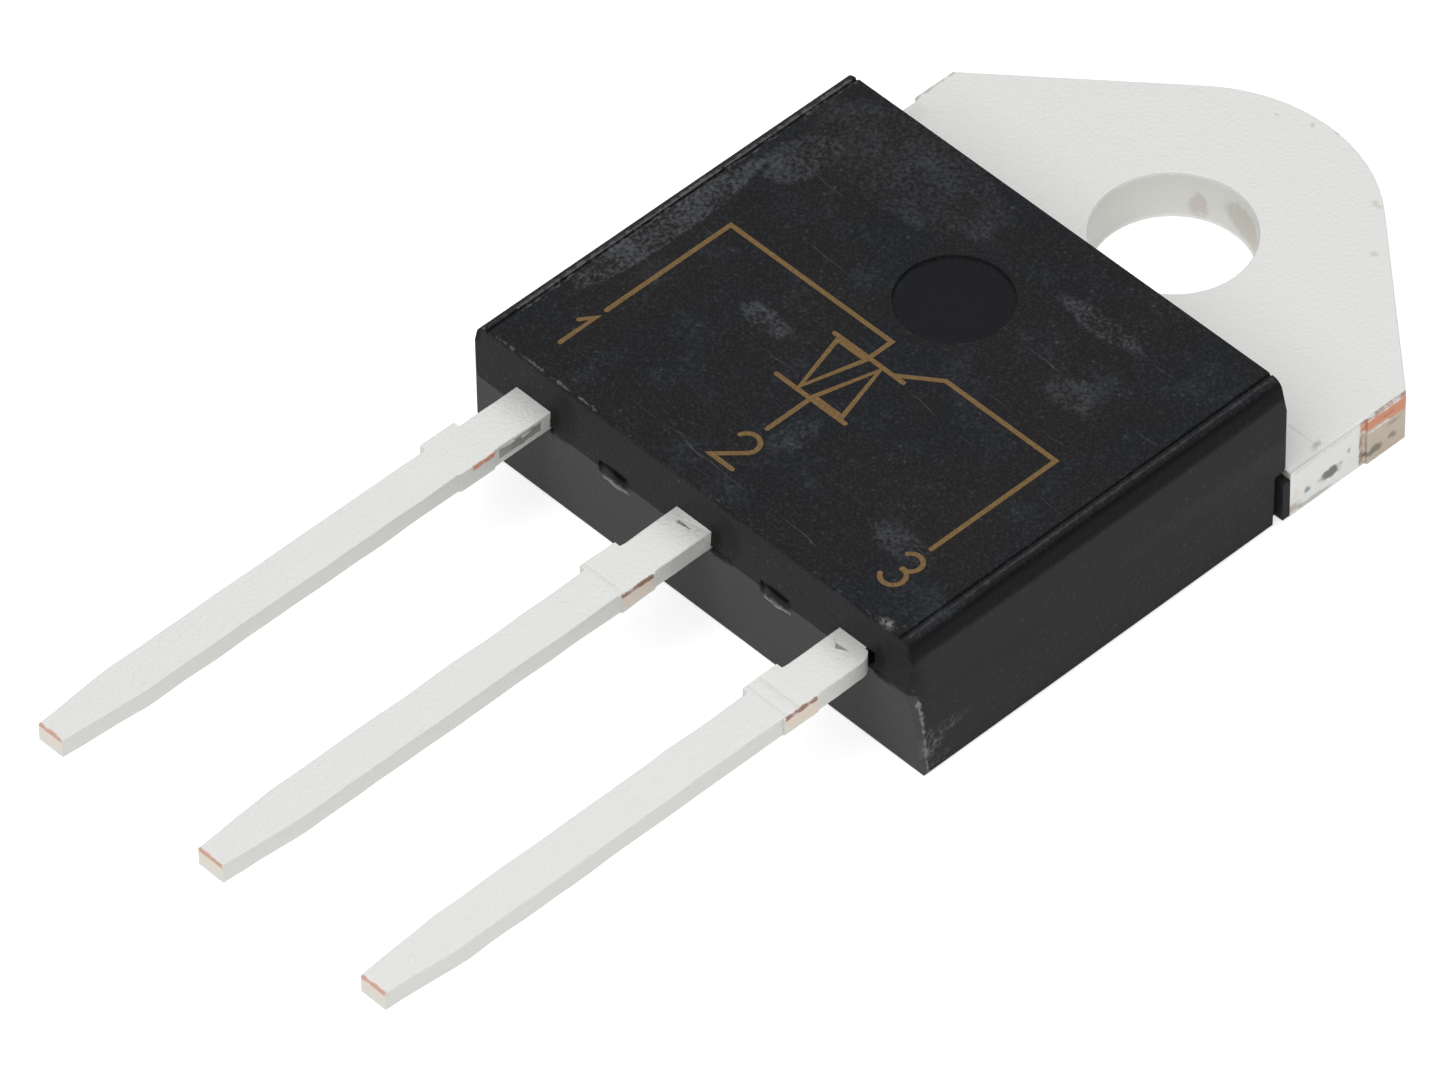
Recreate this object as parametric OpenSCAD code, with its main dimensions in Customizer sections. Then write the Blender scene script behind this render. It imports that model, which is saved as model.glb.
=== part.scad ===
// Triac in a flat moulded package with three leads and an insulated screw tab.
// Origin: axis of the screw hole, on the bare metal back. +Z leaves the marked
// top, +Y points to the tab's tip and the leads run towards -Y.

/* [Body] */
// Width of the body at its parting line
body_w = 15.1; // [14.8:0.05:15.15]
// Height of the body's flat top above the metal back
body_h = 4.46; // [4.3:0.02:4.8]
// Distance from the hole's axis to the lead end, at the parting line
body_front = 16; // [15.8:0.05:16.4]
// Distance from the hole's axis to the tab end, on the tab's upper face
body_rear = 3.6; // [3.4:0.05:3.9]
// Draft of the sides above the parting line, in degrees
side_draft = 10.5; // [6:0.5:13]
// Draft of the sides below the parting line, in degrees
side_draft_low = 1; // [0.5:0.1:3]
// Draft of the lead end above the parting line, in degrees
front_draft = 3.6; // [2:0.2:8]
// Draft of the lead end below the parting line, in degrees
front_draft_low = 6; // [3:0.5:10]
// Draft of the tab end, in degrees
rear_draft = 3.6; // [2:0.2:6]
// Radius of the upright corners where they are widest
corner_r = 0.5; // [0.4:0.05:0.9]
// Radius along the two long top edges
edge_r = 0.3; // [0.15:0.05:0.4]
// How far the metal back stands proud of the plastic
back_step = 0.05; // [0.02:0.01:0.1]

/* [Mould marks] */
// Distance from the body's side to the step along each long top edge
rim_w = 0.65; // [0.6:0.01:0.8]
// Drop from the top to the narrow rim outside that step
rim_drop = 0.04; // [0.02:0.01:0.08]
// Width of the fine groove at the foot of that step
rim_groove_w = 0.08; // [0.05:0.01:0.12]
// Depth of the groove below the rim
rim_groove_d = 0.06; // [0.03:0.01:0.1]
// Radius of the round ejector mark on the top
ejector_r = 1.47; // [1:0.05:1.8]
// Depth of the ejector mark
ejector_d = 0.12; // [0.05:0.01:0.2]
// Distance from the hole's axis to the ejector mark's centre
ejector_y = 7.35; // [6.5:0.05:8.5]
// Length of each gate scar between the leads
scar_l = 0.95; // [0.6:0.05:1.4]
// Height of a gate scar
scar_h = 0.42; // [0.3:0.02:0.6]
// Depth of a gate scar
scar_d = 0.22; // [0.1:0.02:0.35]
// Width of the slot in each side behind the tab's shoulder
slot_w = 0.5; // [0.4:0.01:0.6]
// Depth of that slot
slot_d = 0.25; // [0.1:0.01:0.4]
// Height of the slot above the back
slot_h = 1.66; // [1.62:0.01:1.9]
// Thickness of the rib that stands in the slot against the tab
rib_t = 0.24; // [0.15:0.01:0.3]
// Height of the rib above the back
rib_h = 1.25; // [1:0.01:1.4]
// Length of the trimmed notch on the right of each lead, from lead A1 to the gate
trim_l = [0.15, 0.7, 0.5];
// Height of a trimmed notch
trim_h = 0.2; // [0.1:0.01:0.3]
// Depth of a trimmed notch
trim_d = 0.14; // [0.08:0.01:0.25]

/* [Tab] */
// How far each side of the tab stands beyond the body's parting line
tab_over = 0.02; // [0:0.01:0.2]
// Thickness of the tab
tab_t = 1.5; // [1.4:0.05:1.6]
// Radius of the rounded tip
tip_r = 4.6; // [4.2:0.05:5]
// Distance from the hole's axis to the tip
tip_reach = 5.27; // [5:0.01:5.6]
// Angle between each slanted flank and the tab's width, in degrees
flank_angle = 41; // [36:0.5:45]
// Diameter of the screw hole
hole_d = 4.12; // [4.08:0.01:4.4]
// Length of the sheared tie-bar stub at the foot of each flank
stub_l = 1.3; // [1:0.05:2]
// How far each stub stands out
stub_out = 0.07; // [0.04:0.01:0.15]
// How far the full width of the tab reaches into the body
shoulder = 0.1; // [0.05:0.01:0.2]

/* [Buried end of the tab plate] */
// Plastic between each side of the body and the bare back
plate_side = 1.25; // [1:0.05:1.5]
// Distance from the hole's axis to the plate's far end
plate_reach = 14.9; // [14.6:0.05:15]
// How far the coined lip that the plastic grips stands out
lip_out = 0.35; // [0.2:0.05:0.5]
// Thickness of that lip, measured down from the upper face
lip_t = 0.6; // [0.4:0.05:0.8]
// Radius of the plate's far corners
plate_corner_r = 0.6; // [0.3:0.05:1]
// Width of the sealing groove across the upper face
seal_groove_w = 0.3; // [0.2:0.02:0.4]
// Depth of the sealing groove
seal_groove_d = 0.2; // [0.1:0.02:0.3]
// Distance from the body's tab end to the middle of the sealing groove
seal_groove_in = 0.6; // [0.4:0.02:0.7]

/* [Insulated stack] */
// Distance from the hole's axis to the middle of the stack
stack_y = 9.3; // [9.2:0.05:9.35]
// Width of the ceramic plate
ceramic_w = 11.2; // [10.8:0.1:12]
// Length of the ceramic plate
ceramic_l = 9; // [8.4:0.1:9.2]
// Thickness of the ceramic plate
ceramic_t = 0.5; // [0.38:0.01:0.64]
// Thickness of the copper on each face of the ceramic
copper_t = 0.1; // [0.05:0.01:0.2]
// Bare ceramic edge all round the copper
copper_margin = 0.6; // [0.4:0.05:0.9]
// Thickness of every solder layer
solder_t = 0.06; // [0.03:0.01:0.1]
// How far a solder layer stays inside the face it wets
solder_inset = 0.1; // [0.05:0.01:0.2]
// Width and length of the chip
die_w = 5.6; // [5:0.1:6]
// Thickness of the chip
die_t = 0.23; // [0.18:0.01:0.3]
// Width of the etched moat round the chip's upper face
moat_w = 0.25; // [0.15:0.01:0.35]
// Depth of the moat
moat_d = 0.06; // [0.03:0.01:0.09]

/* [Leads] */
// Distance between neighbouring leads
lead_pitch = 5.45; // [5.4:0.01:5.65]
// How far the middle lead stands to the right of the hole's axis
lead_shift = 0.12; // [0:0.01:0.2]
// Thickness of the lead frame
lead_t = 0.55; // [0.5:0.01:0.7]
// Height of the leads' lower face above the back
lead_z = 2.81; // [2.7:0.01:2.9]
// Width of a lead beyond its dam-bar stubs
lead_w = 1.17; // [1.1:0.01:1.2]
// Width of a lead between the body and its stubs
lead_root_w = 1.18; // [1.1:0.01:1.3]
// Distance from the hole's axis to the leads' ends
lead_reach = 31.2; // [28:0.05:32]
// Width of a lead at its end
lead_end_w = 0.82; // [0.6:0.02:1]
// Length of the taper to the end
lead_taper_l = 2.4; // [1.5:0.1:4]
// Distance from the hole's axis to the near end of the dam-bar stubs
dam_y = 17.8; // [17.3:0.05:18]
// Length of a dam-bar stub along the lead
dam_l = 1.1; // [0.8:0.05:1.5]
// How far the left dam-bar stub stands out from the lead's root
dam_left_out = 0.17; // [0.08:0.01:0.25]
// How far the right dam-bar stub stands out from the lead's root
dam_right_out = 0.04; // [0.02:0.01:0.25]

/* [Buried ends of the leads] */
// Width of the die pad
pad_w = 9; // [8:0.1:9.2]
// Length of the die pad
pad_l = 6.8; // [6.4:0.1:7]
// Width of the neck between the die pad and its lead
neck_w = 2.2; // [1.6:0.1:3]
// Straight length of the neck before its bend
neck_flat = 0.2; // [0.1:0.05:0.4]
// Length over which the neck climbs to the lead's level
neck_bend = 1; // [0.7:0.05:1.1]
// Plastic between the lead end of the body and a post
post_cover = 1.1; // [1:0.01:1.3]
// Width of a post
post_w = 2.4; // [2.2:0.05:2.6]
// Length of a post
post_l = 1.8; // [1.6:0.05:1.9]
// Diameter of the locking hole in a post
post_hole_d = 0.6; // [0.4:0.05:0.7]
// Distance from a post's outer corner to its hole, each way
post_hole_in = 0.55; // [0.5:0.05:0.6]

/* [Clips] */
// Thickness of both clips
clip_t = 0.3; // [0.2:0.01:0.35]
// Air filled by plastic between a clip and the higher of its two landings
clip_lift = 0.15; // [0.08:0.01:0.2]
// Length of the main clip along the chip
main_clip_l = 4; // [3.4:0.1:4.2]
// Reach of the main clip across the chip, from the chip's left edge
main_clip_reach = 3.3; // [2.6:0.1:3.4]
// Width of the main clip's leg to its post
main_leg_w = 1.2; // [1:0.05:1.3]
// Width of the gate clip
gate_clip_w = 0.8; // [0.6:0.05:0.85]
// Distance from the chip's edges to the middle of the gate landing
gate_in = 0.85; // [0.8:0.01:0.95]

/* [Hidden] */
$fn = 72;

// How far a cutting shape runs past the face it opens
past = 1;
// How far the corner prism stays outside the widest outline, so that no faces are tangent
corner_air = 0.02;

// Levels of the parting plane, where the leads lie, and of the rim beside the top
part_z = lead_z;
rim_z = body_h - rim_drop;

// Levels of the stack, from the back upwards
lower_solder_z = tab_t;
lower_copper_z = lower_solder_z + solder_t;
ceramic_z = lower_copper_z + copper_t;
upper_copper_z = ceramic_z + ceramic_t;
upper_solder_z = upper_copper_z + copper_t;
pad_z = upper_solder_z + solder_t;
die_solder_z = pad_z + lead_t;
die_z = die_solder_z + solder_t;
die_top = die_z + die_t;
lead_top = lead_z + lead_t;
clip_z = max(die_top, lead_top) + solder_t + clip_lift;

// Sizes and places that several pieces share
left_lead_x = lead_shift - lead_pitch;
right_lead_x = lead_shift + lead_pitch;
tab_w = body_w + 2 * tab_over;
plate_w = body_w - 2 * plate_side;
copper_w = ceramic_w - 2 * copper_margin;
copper_l = ceramic_l - 2 * copper_margin;
pad_front = stack_y + pad_l / 2;
neck_start = pad_front + neck_flat;
neck_end = neck_start + neck_bend;
post_front = body_front - post_cover;
post_y = post_front - post_l / 2;
die_left = -die_w / 2;
main_foot_w = main_clip_reach - moat_w - solder_inset;
main_foot_x = die_left + moat_w + solder_inset + main_foot_w / 2;
gate_foot_x = die_w / 2 - gate_in;
gate_foot_y = stack_y + die_w / 2 - gate_in;

// Plain block, centred at x and at distance y below the hole's axis, standing on level z
module block(w, l, t, x, y, z) {
    translate([x - w / 2, -y - l / 2, z]) cube([w, l, t]);
}

// Outline in the Y-Z plane, stretched over the width w about x
module side_prism(w, x = 0) {
    translate([x - w / 2, 0, 0])
        rotate([90, 0, 90]) linear_extrude(w) children();
}

// Outline in the X-Z plane, stretched from the tab end to the lead end
module end_prism() {
    translate([0, -body_rear + past, 0])
        rotate([90, 0, 0]) linear_extrude(body_front - body_rear + 2 * past) children();
}

// Cross-section of the body: two drafts that meet at the parting line, round long top edges
module body_section() {
    half = body_w / 2;
    foot = half - (part_z - back_step) * tan(side_draft_low);
    // Centre of the edge's arc, which touches the drafted side and the rim
    arc_z = rim_z - edge_r;
    side_reach = half * cos(side_draft) + part_z * sin(side_draft);
    arc_x = (side_reach - edge_r - arc_z * sin(side_draft)) / cos(side_draft);
    touch = [arc_x + edge_r * cos(side_draft), arc_z + edge_r * sin(side_draft)];
    polygon([
        [-foot, back_step], [foot, back_step], [half, part_z], touch, [arc_x, rim_z],
        [half - rim_w, rim_z], [half - rim_w, body_h], [rim_w - half, body_h],
        [rim_w - half, rim_z], [-arc_x, rim_z], [-touch[0], touch[1]], [-half, part_z]
    ]);
    for (side = [-1, 1])
        translate([side * arc_x, arc_z]) circle(edge_r);
}

// Long section of the body: drafted lead end in two facets, drafted tab end
module body_long_section() {
    foot = body_front - (part_z - back_step) * tan(front_draft_low);
    brow = body_front - (body_h - part_z) * tan(front_draft);
    rear_top = body_rear + (body_h - tab_t) * tan(rear_draft);
    polygon([
        [-foot, back_step], [-body_rear, back_step], [-body_rear, tab_t], [-rear_top, body_h],
        [-brow, body_h], [-body_front, part_z]
    ]);
}

// Plan outline with round corners, seen from above
module body_plan() {
    reach_x = body_w / 2 + corner_air - corner_r;
    front_y = -body_front - corner_air + corner_r;
    rear_y = -body_rear + corner_air - corner_r;
    for (x = [-reach_x, reach_x], y = [front_y, rear_y])
        translate([x, y]) circle(corner_r);
    translate([-reach_x - corner_r, front_y]) square([2 * (reach_x + corner_r), rear_y - front_y]);
    translate([-reach_x, front_y - corner_r]) square([2 * reach_x, rear_y - front_y + 2 * corner_r]);
}

// The solid block that the mould forms, before anything is cut from it
module body_block() {
    intersection() {
        end_prism() body_section();
        side_prism(body_w + 2 * past) body_long_section();
        linear_extrude(body_h + past) body_plan();
    }
}

// Fine grooves at the foot of the step along both long top edges
module rim_grooves() {
    for (side = [-1, 1])
        translate([side * (body_w / 2 - rim_w + rim_groove_w / 2), 0, rim_z])
            translate([-rim_groove_w / 2, -body_front - past, -rim_groove_d])
                cube([rim_groove_w, body_front - body_rear + 2 * past, past]);
}

// Round dish left in the top by the ejector pin
module ejector_mark() {
    translate([0, -ejector_y, body_h - ejector_d]) cylinder(r = ejector_r, h = past);
}

// Two scooped scars on the parting line between the leads
module gate_scars() {
    for (side = [-1, 1])
        side_prism(scar_l, lead_shift + side * lead_pitch / 2)
            polygon([
                [-body_front - past, part_z - scar_h / 2], [-body_front + scar_d / 2, part_z - scar_h / 2],
                [-body_front + scar_d, part_z], [-body_front + scar_d / 2, part_z + scar_h / 2],
                [-body_front - past, part_z + scar_h / 2]
            ]);
}

// Notches on the parting line, where flash beside each lead was trimmed away
module trim_notches() {
    for (i = [0 : len(trim_l) - 1])
        side_prism(trim_l[i], lead_shift + (i - 1) * lead_pitch + (lead_root_w + trim_l[i]) / 2)
            translate([-body_front - past, part_z - trim_h / 2]) square([past + trim_d, trim_h]);
}

// Slots in the sides where the body meets the tab's shoulders
module side_slots() {
    for (side = [-1, 1])
        translate([side * (body_w / 2 - slot_d + past) - past, -body_rear - shoulder - slot_w, -past])
            cube([2 * past, slot_w + past, slot_h + past]);
}

// Ribs of plastic left standing in those slots, flush with the tab's sides
module side_ribs() {
    rib_in = body_w / 2 - slot_d;
    for (side = [-1, 1])
        translate([side * (tab_w / 2 + rib_in) / 2, -body_rear - shoulder - rib_t, back_step])
            translate([(rib_in - tab_w / 2) / 2, 0, 0])
                cube([tab_w / 2 - rib_in, rib_t, rib_h - back_step]);
}

// Everything that the plastic is moulded around
module buried_pieces() {
    tab_plate();
    stack_layers();
    pad_lead();
    post_lead(left_lead_x);
    post_lead(right_lead_x);
    main_clip();
    gate_clip_strip();
    landing_solder();
}

module moulded_body() {
    color([0.16, 0.16, 0.17])
        difference() {
            union() {
                difference() {
                    body_block();
                    side_slots();
                }
                side_ribs();
            }
            rim_grooves();
            ejector_mark();
            gate_scars();
            trim_notches();
            buried_pieces();
        }
}

// Outline of the tab outside the body: round tip, slanted flanks and sheared stubs
module tab_outline() {
    half = tab_w / 2;
    out = half + stub_out;
    centre_y = tip_reach - tip_r;
    touch = [tip_r * sin(flank_angle), centre_y + tip_r * cos(flank_angle)];
    flank_y = centre_y + (tip_r - out * sin(flank_angle)) / cos(flank_angle);
    stub_foot = flank_y - stub_l;
    inner_y = -body_rear - shoulder;
    right_side = [touch, [out, flank_y], [out, stub_foot], [half, stub_foot], [half, inner_y]];
    left_side = [for (i = [len(right_side) - 1 : -1 : 0]) [-right_side[i][0], right_side[i][1]]];
    translate([0, centre_y]) circle(tip_r);
    polygon(concat(right_side, left_side));
}

// Outline of the buried end of the plate, w wide and reaching distance far
module plate_outline(w, far) {
    reach_x = w / 2 - plate_corner_r;
    for (side = [-1, 1])
        translate([side * reach_x, -far + plate_corner_r]) circle(plate_corner_r);
    translate([-reach_x, -far]) square([2 * reach_x, far - body_rear]);
    translate([-w / 2, -far + plate_corner_r]) square([w, far - plate_corner_r - body_rear]);
}

module tab_plate() {
    difference() {
        union() {
            linear_extrude(tab_t) tab_outline();
            linear_extrude(tab_t) plate_outline(plate_w, plate_reach);
            translate([0, 0, tab_t - lip_t]) linear_extrude(lip_t)
                plate_outline(plate_w + 2 * lip_out, plate_reach + lip_out);
        }
        translate([0, 0, -past]) cylinder(d = hole_d, h = tab_t + 2 * past);
        side_prism(tab_w + 2 * past)
            translate([-body_rear - seal_groove_in, tab_t])
                polygon([[-seal_groove_w / 2, 0], [0, -seal_groove_d], [seal_groove_w / 2, 0]]);
    }
}

module heatsink_tab() {
    color([0.78, 0.78, 0.75]) tab_plate();
}

module lower_solder_layer() {
    block(copper_w - 2 * solder_inset, copper_l - 2 * solder_inset, solder_t, 0, stack_y, lower_solder_z);
}

module upper_solder_layer() {
    block(pad_w - 2 * solder_inset, pad_l - 2 * solder_inset, solder_t, 0, stack_y, upper_solder_z);
}

module die_solder_layer() {
    block(die_w - 2 * solder_inset, die_w - 2 * solder_inset, solder_t, 0, stack_y, die_solder_z);
}

module copper_layer(z) {
    block(copper_w, copper_l, copper_t, 0, stack_y, z);
}

module ceramic_layer() {
    block(ceramic_w, ceramic_l, ceramic_t, 0, stack_y, ceramic_z);
}

// The chip, with a moat etched round its upper face
module chip() {
    mesa_w = die_w - 2 * moat_w;
    block(die_w, die_w, die_t - moat_d, 0, stack_y, die_z);
    block(mesa_w, mesa_w, moat_d, 0, stack_y, die_top - moat_d);
}

module stack_layers() {
    lower_solder_layer();
    copper_layer(lower_copper_z);
    ceramic_layer();
    copper_layer(upper_copper_z);
    upper_solder_layer();
    die_solder_layer();
    chip();
}

module lower_solder() {
    color([0.62, 0.63, 0.65]) lower_solder_layer();
}

module ceramic_lower_copper() {
    color([0.78, 0.47, 0.33]) copper_layer(lower_copper_z);
}

module ceramic_plate() {
    color([0.93, 0.93, 0.9]) ceramic_layer();
}

module ceramic_upper_copper() {
    color([0.78, 0.47, 0.33]) copper_layer(upper_copper_z);
}

module upper_solder() {
    color([0.62, 0.63, 0.65]) upper_solder_layer();
}

module die_solder() {
    color([0.62, 0.63, 0.65]) die_solder_layer();
}

module silicon_die() {
    color([0.3, 0.31, 0.36]) chip();
}

// One edge of a lead about its middle line, from distance start to the end, with its stub
function lead_edge(start, out) =
    let (root = lead_root_w / 2, blade = lead_w / 2, dam_end = dam_y + dam_l)
    [[root, -start], [root, -dam_y], [root + out, -dam_y], [root + out, -dam_end],
        [blade, -dam_end], [blade, -lead_reach + lead_taper_l], [lead_end_w / 2, -lead_reach]];

// Free part of a lead, from distance start to its tapered end, about x
module lead_blade(start, x) {
    right_side = lead_edge(start, dam_right_out);
    left_edge = lead_edge(start, dam_left_out);
    left_side = [for (i = [len(left_edge) - 1 : -1 : 0]) [-left_edge[i][0], left_edge[i][1]]];
    translate([x, 0, lead_z]) linear_extrude(lead_t) polygon(concat(right_side, left_side));
}

// Middle lead: die pad low on the stack, neck that climbs to the level of the other leads
module pad_lead() {
    block(pad_w, pad_l, lead_t, 0, stack_y, pad_z);
    side_prism(neck_w, lead_shift)
        polygon([
            [-stack_y, pad_z], [-neck_start, pad_z], [-neck_end, lead_z], [-post_front, lead_z],
            [-post_front, lead_top], [-neck_end, lead_top], [-neck_start, pad_z + lead_t],
            [-stack_y, pad_z + lead_t]
        ]);
    lead_blade(post_front, lead_shift);
}

// Outer lead at x: buried post with a locking hole near its outer corner
module post_lead(x) {
    hole_x = x + sign(x) * (post_w / 2 - post_hole_in);
    difference() {
        union() {
            block(post_w, post_l, lead_t, x, post_y, lead_z);
            lead_blade(post_front, x);
        }
        translate([hole_x, -post_front + post_hole_in, lead_z - past])
            cylinder(d = post_hole_d, h = lead_t + 2 * past);
    }
}

module lead_a2() {
    color([0.86, 0.86, 0.84]) pad_lead();
}

module lead_a1() {
    color([0.86, 0.86, 0.84]) post_lead(left_lead_x);
}

module lead_gate() {
    color([0.86, 0.86, 0.84]) post_lead(right_lead_x);
}

// Square foot under a clip, from the solder on level base up to the clip
module clip_foot(w, l, x, y, base) {
    block(w, l, clip_z - base - solder_t, x, y, base + solder_t);
}

// Bridge from the chip to the left post: wide over the chip, with one leg
module main_clip() {
    right = die_left + main_clip_reach;
    leg_left = left_lead_x - main_leg_w / 2;
    leg_right = left_lead_x + main_leg_w / 2;
    near_y = -stack_y + main_clip_l / 2;
    far_y = -stack_y - main_clip_l / 2;
    translate([0, 0, clip_z]) linear_extrude(clip_t)
        polygon([
            [leg_left, near_y], [right, near_y], [right, far_y], [leg_right, far_y],
            [leg_right, -post_y - main_leg_w / 2], [leg_left, -post_y - main_leg_w / 2]
        ]);
    clip_foot(main_foot_w, main_clip_l, main_foot_x, stack_y, die_top);
    clip_foot(main_leg_w, main_leg_w, left_lead_x, post_y, lead_top);
}

// Bridge from the chip's gate corner to the right post
module gate_clip_strip() {
    half = gate_clip_w / 2;
    left = gate_foot_x - half;
    right = right_lead_x + half;
    translate([0, 0, clip_z]) linear_extrude(clip_t)
        polygon([
            [left, -gate_foot_y + half], [right, -gate_foot_y + half], [right, -post_y - half],
            [right - gate_clip_w, -post_y - half], [right - gate_clip_w, -gate_foot_y - half],
            [left, -gate_foot_y - half]
        ]);
    clip_foot(gate_clip_w, gate_clip_w, gate_foot_x, gate_foot_y, die_top);
    clip_foot(gate_clip_w, gate_clip_w, right_lead_x, post_y, lead_top);
}

module a1_die_pad() {
    block(main_foot_w, main_clip_l, solder_t, main_foot_x, stack_y, die_top);
}

module a1_post_pad() {
    block(main_leg_w, main_leg_w, solder_t, left_lead_x, post_y, lead_top);
}

module gate_die_pad() {
    block(gate_clip_w, gate_clip_w, solder_t, gate_foot_x, gate_foot_y, die_top);
}

module gate_post_pad() {
    block(gate_clip_w, gate_clip_w, solder_t, right_lead_x, post_y, lead_top);
}

module landing_solder() {
    a1_die_pad();
    a1_post_pad();
    gate_die_pad();
    gate_post_pad();
}

module a1_clip() {
    color([0.8, 0.5, 0.36]) main_clip();
}

module gate_clip() {
    color([0.8, 0.5, 0.36]) gate_clip_strip();
}

module a1_die_solder() {
    color([0.62, 0.63, 0.65]) a1_die_pad();
}

module a1_lead_solder() {
    color([0.62, 0.63, 0.65]) a1_post_pad();
}

module gate_die_solder() {
    color([0.62, 0.63, 0.65]) gate_die_pad();
}

module gate_lead_solder() {
    color([0.62, 0.63, 0.65]) gate_post_pad();
}

moulded_body();
heatsink_tab();
lower_solder();
ceramic_lower_copper();
ceramic_plate();
ceramic_upper_copper();
upper_solder();
lead_a2();
die_solder();
silicon_die();
a1_die_solder();
a1_clip();
a1_lead_solder();
lead_a1();
gate_die_solder();
gate_clip();
gate_lead_solder();
lead_gate();
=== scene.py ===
import math

import bmesh
import bpy
from mathutils import Matrix, Quaternion, Vector, noise


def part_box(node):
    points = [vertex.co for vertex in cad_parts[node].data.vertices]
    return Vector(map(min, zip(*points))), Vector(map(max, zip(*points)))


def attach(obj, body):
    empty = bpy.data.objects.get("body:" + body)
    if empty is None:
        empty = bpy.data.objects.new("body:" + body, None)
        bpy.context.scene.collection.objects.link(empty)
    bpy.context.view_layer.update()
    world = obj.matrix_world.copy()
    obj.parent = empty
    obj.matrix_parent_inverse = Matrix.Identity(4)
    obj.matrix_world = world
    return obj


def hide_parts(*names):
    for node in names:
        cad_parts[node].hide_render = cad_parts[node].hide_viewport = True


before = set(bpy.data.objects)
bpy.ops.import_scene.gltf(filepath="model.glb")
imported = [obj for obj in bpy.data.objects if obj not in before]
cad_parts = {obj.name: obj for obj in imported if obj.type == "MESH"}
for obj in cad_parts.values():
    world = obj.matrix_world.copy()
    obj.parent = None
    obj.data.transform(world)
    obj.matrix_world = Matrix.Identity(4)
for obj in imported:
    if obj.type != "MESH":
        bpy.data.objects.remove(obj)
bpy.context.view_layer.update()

# The looks of a triac in a flat moulded package. Places and sizes are in millimetres
# and turn into metres where a mesh, a lamp or the camera is made.
MM = 0.001

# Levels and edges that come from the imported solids
body_low, body_high = (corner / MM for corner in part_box("moulded_body"))
tab_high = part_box("heatsink_tab")[1] / MM
lead_low, lead_high = (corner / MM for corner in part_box("lead_a1"))
TOP_Z = body_high.z
TAB_Z = tab_high.z
LEAD_Z = lead_high.z
LEAD_MIDDLE_Z = (lead_low.z + lead_high.z) / 2
PARTING_Z = lead_low.z
LEAD_END_Y = lead_low.y
FRONT_Y = body_low.y
REAR_Y = body_high.y
STUB_X = tab_high.x
OUTER_LEADS_X = [sum(corner.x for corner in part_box(lead)) / 2 / MM for lead in ("lead_a1", "lead_gate")]
LEADS_X = [OUTER_LEADS_X[0], sum(OUTER_LEADS_X) / 2, OUTER_LEADS_X[1]]

# Camera
AIM = Vector((0.231, -15.245, 2.2))
CAMERA_DISTANCE = 318.556
CAMERA_AZIMUTH = math.radians(46.928)
CAMERA_ELEVATION = math.radians(46.223)
CAMERA_ROLL = math.radians(-1.032)
LENS = 341.056
SENSOR = 36

# Moulded body
EJECTOR_CENTRE = Vector((0, -7.35, TOP_Z))
EJECTOR_RADIUS = 1.47
TOP_FRONT_Y = -15.896
CORNER_LINE_Y = FRONT_Y + 0.14
UPPER_SLOPE = (TOP_FRONT_Y - FRONT_Y) / (TOP_Z - PARTING_Z)
LOWER_SLOPE = math.tan(math.radians(6))

# Leads, from the body outwards
STUB_NEAR_Y = -17.8
STUB_FAR_Y = -18.9
STUB_RIGHT = 0.63
STUB_LEFT = -0.76
TAPER_Y = -28.8

# Mouths of the pockets along the parting line
POCKET_REACH = 0.25
RAGGED_WANDER = 0.07
RAGGED_GRAIN = 6
RAGGED_CUTS = 6
RAGGED_SEED = 15
LIP_LENGTH = 0.85
LIP_STEPS = 14
SCARS_X = (LEADS_X[0] / 2 + LEADS_X[1] / 2, LEADS_X[1] / 2 + LEADS_X[2] / 2)

# Widest rounding of the bare edges
BODY_ROUNDING = 0.06
TAB_ROUNDING = 0.18
LEAD_ROUNDING = 0.045

# Fine work on the leads
DENT_DEPTH = 0.05
LINE_DEPTH = 0.008
LINE_WIDTH = 0.03
LEAD_WANDER = 0.03
WANDER_LENGTH = 1.3

# Bare edges of the solids
SHARP_ANGLE = math.radians(20)
FLAT_ANGLE = math.radians(0.3)
WELD = 1e-7


# ---------------------------------------------------------------- camera and studio

def put(data, name, place, turn=Quaternion()):
    """Links a new object into the scene at a place in millimetres."""
    made = bpy.data.objects.new(name, data)
    bpy.context.scene.collection.objects.link(made)
    made.matrix_world = Matrix.Translation(place * MM) @ turn.to_matrix().to_4x4()
    return made


def around(azimuth, elevation):
    """Unit vector towards an azimuth and elevation; azimuth 0 lies towards -Y."""
    level = math.cos(elevation)
    return Vector((math.sin(azimuth) * level, -math.cos(azimuth) * level, math.sin(elevation)))


def facing(direction, roll=0.0):
    """Turn of a camera or lamp that looks along a direction."""
    return direction.to_track_quat("-Z", "Y") @ Quaternion((0, 0, 1), roll)


def make_camera():
    """Long lens that looks down on the lead end and the right side."""
    data = bpy.data.cameras.new("camera")
    data.lens = LENS
    data.sensor_width = SENSOR
    data.clip_start = 0.01
    back = around(CAMERA_AZIMUTH, CAMERA_ELEVATION)
    camera = put(data, "camera", AIM + back * CAMERA_DISTANCE, facing(-back, CAMERA_ROLL))
    bpy.context.scene.camera = camera


def make_lamp(name, azimuth, elevation, distance, size, watts):
    """Square soft lamp aimed at the part."""
    data = bpy.data.lights.new(name, "AREA")
    data.size = size * MM
    data.energy = watts
    back = around(math.radians(azimuth), math.radians(elevation))
    put(data, name, AIM + back * distance, facing(-back))


# ---------------------------------------------------------------- node trees

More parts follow.
